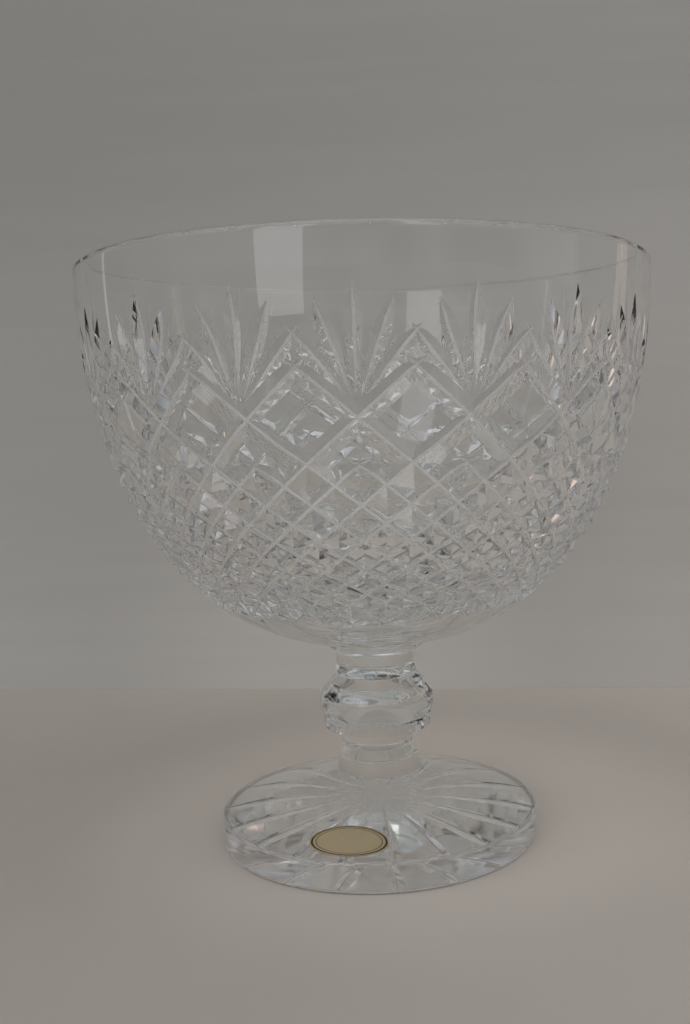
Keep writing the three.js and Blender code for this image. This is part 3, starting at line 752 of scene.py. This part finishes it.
# A change of width that is over before the wall starts
ABOVE_THE_RIM = (-1.0, -0.5)
bowl_tree = Recipe(
    "fan_and_diamond_bowl", Int="Steps round, Fans",
    Float="Main half width, Net share, Blade length, Blade shortening, Blade spread, Blade foot, "
          "Blade width, Widest, Joint below")
given = bowl_tree.given
cutters = []
fan_angle = 2 * math.pi / FANS
for first_row, start_turn, net_begins in (
        (0, fan_angle / 2, (row_down(NET_ROW - 1), row_down(NET_ROW))), (NET_ROW, 0.0, ABOVE_THE_RIM)):
    for hand in (1, -1):
        cut = bowl_tree.group(slanting, {
            "Stations": CUT_STATIONS, "From": (row_down(first_row) - RUN / 2) * MM,
            "To": row_down(end_row) * MM, "Run in": RUN * MM, "Run out": RUN * MM, "Start turn": start_turn,
            "Start sum": top_turn + first_row * row_turn, "Hand": hand,
            "Upper half width": given["Main half width"], "Net from": net_begins[0] * MM,
            "Net to": net_begins[1] * MM, "Net share": given["Net share"]})
        cutters.append(round_the_axis(bowl_tree, cut, given["Fans"]))
for number in range(-SIDE_BLADES, SIDE_BLADES + 1):
    shorter = bowl_tree.times(given["Blade shortening"], abs(number))
    blade = bowl_tree.group(blading, {
        "Stations": BLADE_STATIONS, "Base": between(FAN_BASE, fall, down) * MM,
        "Blade length": bowl_tree.minus(given["Blade length"], shorter),
        "Lean": bowl_tree.times(given["Blade spread"], number),
        "Foot": bowl_tree.times(given["Blade foot"], number),
        "Base radius": between(FAN_BASE, fall, [point.x for point in wall]) * MM,
        "Blade width": given["Blade width"], "Widest": given["Widest"]})
    cutters.append(round_the_axis(bowl_tree, blade, given["Fans"]))
finish_piece(bowl_tree, bowl_tree.combined("DIFFERENCE", cutters, turned(bowl_tree, blown_skin)))

# %% Bowl
MAIN_HALF_WIDTH, NET_SHARE = 3.0, 1.02
BLADE_LENGTH, BLADE_SHORTENING, BLADE_FOOT, BLADE_WIDTH = 27.2, 2.6, 0.9, 4.6
BLADE_SPREAD = math.radians(19.5)
BOWL_STEPS, OUTSIDE_STEPS, INSIDE_STEPS, LIP_STEPS = 288, 100, 60, 24

lip_middle = RIM_RADIUS - lip_radius
lip = [(lip_middle + lip_radius * math.cos(a), rim_top - lip_radius + lip_radius * math.sin(a))
       for a in (math.pi * i / LIP_STEPS for i in range(1, LIP_STEPS))]
outside = [tuple(point) for point in reversed(bezier(outer_curve, OUTSIDE_STEPS))]
inside = [tuple(point) for point in reversed(bezier(inner_curve, INSIDE_STEPS))]
bowl = make_piece(
    "bowl_glass",
    [(0, bowl_seat), *outside, *lip, *inside],
    bowl_tree,
    {"Steps round": BOWL_STEPS, "Fans": FANS, "Main half width": MAIN_HALF_WIDTH * MM,
     "Net share": NET_SHARE, "Blade length": BLADE_LENGTH * MM, "Blade shortening": BLADE_SHORTENING * MM,
     "Blade spread": BLADE_SPREAD, "Blade foot": BLADE_FOOT * MM, "Blade width": BLADE_WIDTH * MM,
     "Widest": LEAF_WIDEST, "Joint below": COLLAR_RADIUS * MM})

# %% [markdown]
# ## Label
#
# An oval of gold foil with two thin dark border lines is stuck on the foot's cone. A flat sheet lies on a
# cone without creases, because a cone can be rolled out flat. So the tree turns a flat round coin,
# stretches it to the oval, and rolls it on: in the rolled-out cone a point has a distance from the cone's
# tip and an angle about it, and both keep their meaning on the cone. The flat place of every point is kept
# as a UV map, from which the border lines are drawn.

# %% Foil finish
BORDER_LINES = ((0.9, 0.95), (0.81, 0.83))
FOIL_GOLDS, BORDER_INK = ((0.55, 0.45, 0.28), (0.68, 0.56, 0.37)), (0.05, 0.04, 0.025)
FOIL_GRAIN, FOIL_METAL, FOIL_ROUGHNESS = 900.0, 0.75, (0.38, 0.6)

foil = Paint("label_foil")
flat_place = foil.node("ShaderNodeUVMap", uv_map="flat_place")[0]
middle_out = foil.vector("LENGTH", flat_place, output="Value")
inked = foil.maths("MAXIMUM", *(foil.maths("COMPARE", middle_out, (low + high) / 2, (high - low) / 2)
                                for low, high in BORDER_LINES))
grain = foil.noise(foil.place, FOIL_GRAIN)
foil.shade({"Metallic": FOIL_METAL, "Roughness": foil.ramp(grain, 0, 1, *FOIL_ROUGHNESS),
            "Base Color": foil.mixed(inked, foil.mixed(grain, *FOIL_GOLDS), BORDER_INK)})
print("finish:", foil.material.name)

# %% Tree for the label
labelling = Recipe("rolled_label", Int="Steps round",
                   Float="Width, Height, Centre, Turn, Cone radius, Cone level, Cone fall")
given = labelling.given
coin_place = labelling.parts(labelling.place())
flat_x, flat_y = (labelling.over(coin_place[axis], MM) for axis in ("X", "Y"))
coin = labelling.node("GeometryNodeStoreNamedAttribute", {
    "Geometry": turned(labelling, foil.material), "Name": "flat_place",
    "Value": labelling.xyz(flat_x, flat_y, 0)}, data_type="FLOAT2", domain="CORNER")[0]
across = labelling.times(flat_x, labelling.over(given["Width"], 2))
up = labelling.times(flat_y, labelling.over(given["Height"], 2))
slope = labelling.maths("ARCTANGENT", given["Cone fall"])
flatness = labelling.maths("COSINE", slope)
to_tip = labelling.minus(labelling.over(given["Centre"], flatness), up)
swing = labelling.over(labelling.maths("ARCTAN2", across, to_tip), flatness)
on_cone = labelling.times(labelling.diagonal(across, to_tip), flatness)
level = labelling.plus(given["Cone level"], labelling.times(
    given["Cone fall"], labelling.minus(given["Cone radius"], on_cone)))
outward = labelling.plus(on_cone, labelling.times(coin_place["Z"], labelling.maths("SINE", slope)))
upward = labelling.plus(level, labelling.times(coin_place["Z"], flatness))
rolled = labelling.about_axis(labelling.xyz(0, labelling.times(outward, -1), upward),
                              labelling.plus(given["Turn"], swing))
whole = labelling.node("GeometryNodeRealizeInstances", {"Geometry": labelling.moved(coin, rolled)})[0]
labelling.done(labelling.coated(whole, foil.material))

# %% Label
LABEL_WIDTH, LABEL_HEIGHT, LABEL_FROM_EDGE = 23.6, 13.2, 8.9
LABEL_TURN, LABEL_LOW, LABEL_HIGH = math.radians(-11), 0.24, 0.45
LABEL_STEPS, COIN_RINGS = 96, 6

coin_rings = [i / COIN_RINGS for i in range(COIN_RINGS + 1)]
label = make_piece(
    "foil_label_sheet",
    [*((ring, LABEL_LOW) for ring in coin_rings), *((ring, LABEL_HIGH) for ring in reversed(coin_rings))],
    labelling,
    {"Steps round": LABEL_STEPS, "Width": LABEL_WIDTH * MM, "Height": LABEL_HEIGHT * MM,
     "Centre": (FOOT_RADIUS - LABEL_FROM_EDGE) * MM, "Turn": LABEL_TURN, "Cone radius": rim_in * MM,
     "Cone level": FOOT_EDGE * MM, "Cone fall": (HUB_BASE - FOOT_EDGE) / (rim_in - HUB_BASE_RADIUS)})

# %% [markdown]
# ## Floor, backdrop and light
#
# The bowl stands on a pale table close to a pale wall. Clear glass shows what is around it, so the room
# matters more than the lamps. Light that the glass gathers makes the table and the wall a little paler
# close to it. Such caustics take a renderer very long, so the paint has them.

# %% Paint for the stage
STAGE_ROUGHNESS, STAGE_SHINE, STREAK_TONES = 0.8, 0.2, (0.96, 1.04)


def stage_finish(name, corner_colours_and_light, sides, depths, depth_axis, glow, streaks, one_sided=False):
    """A paint whose colour drifts between four corners: low left, low right, high left and high right. On
    the table and the wall the drift is painted light and shade. Sides and depths are where the drift starts
    and ends. A glow is a painted pool of light, a paler place: its middle, the two distances between which
    it fades out, and how much paler it is. Streaks are how often the brush marks change along each axis, in
    times per metre."""
    paint = Paint(name)
    axes = paint.parts(paint.place)
    across = paint.ramp(axes["X"], *sides)
    colour = paint.mixed(paint.ramp(axes[depth_axis], *depths), paint.mixed(across, *corner_colours_and_light[:2]),
                         paint.mixed(across, *corner_colours_and_light[2:]))
    brushed = paint.vector("MULTIPLY", paint.place, streaks)
    uneven = paint.ramp(paint.noise(brushed, 1.0), 0, 1, *STREAK_TONES)
    middle, near, far, gain = glow
    away = paint.vector("DISTANCE", paint.place, middle, output="Value")
    tone = paint.times(uneven, paint.ramp(away, near, far, 1 + gain, 1.0, "SMOOTHSTEP"))
    paint.shade({"Base Color": paint.scaled(colour, tone), "Roughness": STAGE_ROUGHNESS,
                 "Specular IOR Level": STAGE_SHINE})
    if one_sided:
        back = paint.node("ShaderNodeNewGeometry")["Backfacing"]
        clear = paint.node("ShaderNodeBsdfTransparent")[0]
        paint.feed(paint.surface, paint.node("ShaderNodeMixShader", {
            0: back, 1: paint.shader.outputs[0], 2: clear})[0])
    return paint.material


def stage_plane(name, corners, finish):
    mesh = bpy.data.meshes.new(name)
    mesh.from_pydata(corners, [], [tuple(range(len(corners)))])
    mesh.materials.append(finish)
    plane = bpy.data.objects.new(name, mesh)
    bpy.context.scene.collection.objects.link(plane)
    print("stage:", name, "in", finish.name)


# %% Table and wall
WALL_BEHIND, WALL_SKEW = 0.1826, 0.095
FLOOR_GAP = 0.2 * MM
REACH = 3.0
# The table's corner colours are painted light and shade: darker at the front left, paler to the right and at
# the back.
TABLE_COLOURS_AND_LIGHT = ((0.27, 0.243, 0.216), (0.42, 0.38, 0.338), (0.365, 0.329, 0.291), (0.455, 0.41, 0.364))
TABLE_SIDES, TABLE_DEPTHS, TABLE_STREAKS = (-0.2, 0.2), (-0.25, 0.18), (14, 14, 14)
TABLE_GLOW = ((0.01, 0.025, 0.0), 0.05, 0.13, 0.28)
# The wall's corner colours are painted light and shade: paler low down and to the right.
WALL_COLOURS_AND_LIGHT = ((0.345, 0.332, 0.310), (0.415, 0.388, 0.362), (0.245, 0.236, 0.220), (0.28, 0.27, 0.252))
WALL_SIDES, WALL_LEVELS, WALL_STREAKS = (-0.15, 0.12), (0.02, 0.27), (9, 9, 140)
WALL_GLOW = ((-0.03, WALL_BEHIND, 0.02), 0.03, 0.12, 0.12)

stage_plane("table", [(-REACH, -REACH, -FLOOR_GAP), (REACH, -REACH, -FLOOR_GAP),
                      (REACH, REACH, -FLOOR_GAP), (-REACH, REACH, -FLOOR_GAP)],
            stage_finish("table_top", TABLE_COLOURS_AND_LIGHT, TABLE_SIDES, TABLE_DEPTHS, "Y", TABLE_GLOW,
                         TABLE_STREAKS))
left_end, right_end = (WALL_BEHIND - WALL_SKEW * x for x in (-REACH, REACH))
stage_plane("back_wall", [(-REACH, left_end, -FLOOR_GAP), (REACH, right_end, -FLOOR_GAP),
                          (REACH, right_end, REACH), (-REACH, left_end, REACH)],
            stage_finish("wall_paint", WALL_COLOURS_AND_LIGHT, WALL_SIDES, WALL_LEVELS, "Z", WALL_GLOW, WALL_STREAKS,
                         one_sided=True))

# %% [markdown]
# Little light gets through the foot to the table under it in a render, and the foot would look dark in the
# middle of a pale picture. A pale disc under it is painted light, in place of the light that the glass lets
# through. It is a little smaller than the foot, so that it doesn't show.

# %% Painted light under the foot
LIGHT_DISC_RADIUS, LIGHT_DISC_STEPS = 47.0, 72
LIGHT_DISC_COLOURS = ((0.9, 0.85, 0.78), (0.92, 0.87, 0.8)) * 2
LIGHT_DISC_SPAN, LIGHT_DISC_STREAKS = (-0.05, 0.05), (60, 60, 60)
LIGHT_DISC_GLOW = ((0.0, 0.0, 0.0), 0.0, 0.05, 0.04)

# The pale disc is painted light on the table under the foot.
light_disc_angles = [2 * math.pi * i / LIGHT_DISC_STEPS for i in range(LIGHT_DISC_STEPS)]
stage_plane("painted_light_disc", [(LIGHT_DISC_RADIUS * MM * math.cos(a), LIGHT_DISC_RADIUS * MM * math.sin(a), -FLOOR_GAP / 2)
                      for a in light_disc_angles],
            stage_finish("white_paper", LIGHT_DISC_COLOURS, LIGHT_DISC_SPAN, LIGHT_DISC_SPAN, "Y", LIGHT_DISC_GLOW,
                         LIGHT_DISC_STREAKS))

# %% [markdown]
# The world is the room. It lights the table and the wall at a plain level. The glass itself shows a dimmer
# room, as in the photo, with soft dark and pale places for its furniture and paler upwards. Light Path
# tells the two apart: a ray that has met the table or the wall has a diffuse depth of at least one. Light
# is bent many times in cut glass, so rays may go on for longer than usual.

# %% World
DAYLIGHT, DAYLIGHT_COLOUR = 1.25, (0.95, 0.97, 1.0, 1)
FURNITURE_SCALE, FURNITURE_PLACE = 1.7, (0, 9, 2)
FURNITURE_TONES, HEIGHT_TONES = (0.36, 0.64, 0.2, 0.46), (0.0, 0.8, 1.0, 1.4)
GLASS_BOUNCES, SHINE_BOUNCES, CLEAR_BOUNCES = 28, 12, 24

scene = bpy.context.scene
scene.view_settings.view_transform = "Standard"
scene.cycles.max_bounces = scene.cycles.transmission_bounces = GLASS_BOUNCES
scene.cycles.glossy_bounces = SHINE_BOUNCES
scene.cycles.transparent_max_bounces = CLEAR_BOUNCES

world = bpy.data.worlds.new("room")
scene.world = world
world.use_nodes = True
world.cycles.sampling_method = "NONE"
sky = Bench(world.node_tree)
direction = sky.node("ShaderNodeTexCoord")["Generated"]
furniture = sky.noise(sky.vector("ADD", direction, FURNITURE_PLACE), FURNITURE_SCALE, detail=1.0)
seen = sky.times(sky.ramp(furniture, *FURNITURE_TONES), sky.ramp(sky.parts(direction)["Z"], *HEIGHT_TONES))
depth = sky.node("ShaderNodeLightPath")["Diffuse Depth"]
background = sky.tree.nodes["Background"].inputs
sky.feed(background["Color"], DAYLIGHT_COLOUR)
sky.feed(background["Strength"], sky.ramp(depth, 0, 1, seen, DAYLIGHT))
print("world:", world.name, "with", len(sky.tree.nodes), "nodes")

# %% [markdown]
# The lamps stand where the photo's reflections ask for them: a tall window in front at the left, whose
# shine on the wall of the bowl is a lamp of its own, a warm lamp at the right and a narrow glint at the
# far left. Each lamp is hidden from the kinds of ray that it isn't meant for, and all from the camera.

# %% Lamps
LAMP_AIM = Vector((0, 0, 0.1))
# Name, degrees from the front, degrees up, distance, width and height in metres, watts, colour, hidden from
LAMPS = (
    ("window", -31, 18, 1.6, 0.5, 1.1, 1.8, (1.0, 0.98, 0.95), ("camera", "transmission", "glossy")),
    ("window_shine", -28, 22, 1.6, 0.5, 1.4, 3.6, (0.97, 0.98, 1.0), ("camera", "transmission", "diffuse")),
    ("warm_lamp", 112, 12, 0.42, 0.08, 0.3, 0.04, (1.0, 0.72, 0.58), ("camera", "diffuse")),
    ("side_glint", -102, 12, 0.42, 0.012, 0.3, 0.01, (1.0, 0.98, 0.95),
     ("camera", "transmission", "diffuse")))

for name, azimuth, elevation, distance, width, height, power, colour, hidden_from in LAMPS:
    lamp = bpy.data.lights.new(name, "AREA")
    lamp.shape = "RECTANGLE"
    lamp.size, lamp.size_y, lamp.energy, lamp.color = width, height, power, colour
    holder = bpy.data.objects.new(name, lamp)
    scene.collection.objects.link(holder)
    a, e = math.radians(azimuth), math.radians(elevation)
    way = Vector((math.sin(a) * math.cos(e), -math.cos(a) * math.cos(e), math.sin(e)))
    holder.location = LAMP_AIM + way * distance
    holder.rotation_euler = way.to_track_quat("Z", "Y").to_euler()
    for rays in hidden_from:
        setattr(holder, "visible_" + rays, False)
    print(f"lamp: {name}, {power} W")

# %% [markdown]
# ## Joining the frame
#
# Each piece stands for its CAD node and rides on the part's one body.

# %% Hand the pieces to the frame
for piece, node, slot in ((bowl, "bowl", "crystal"), (collar, "bowl_collar", "crystal"),
                          (upper_stem, "upper_stem", "crystal"), (knop, "knop", "crystal"),
                          (lower_stem, "lower_stem", "crystal"), (foot, "foot", "crystal"),
                          (label, "foil_label", "gold_foil")):
    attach(piece, "root")
    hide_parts(node)
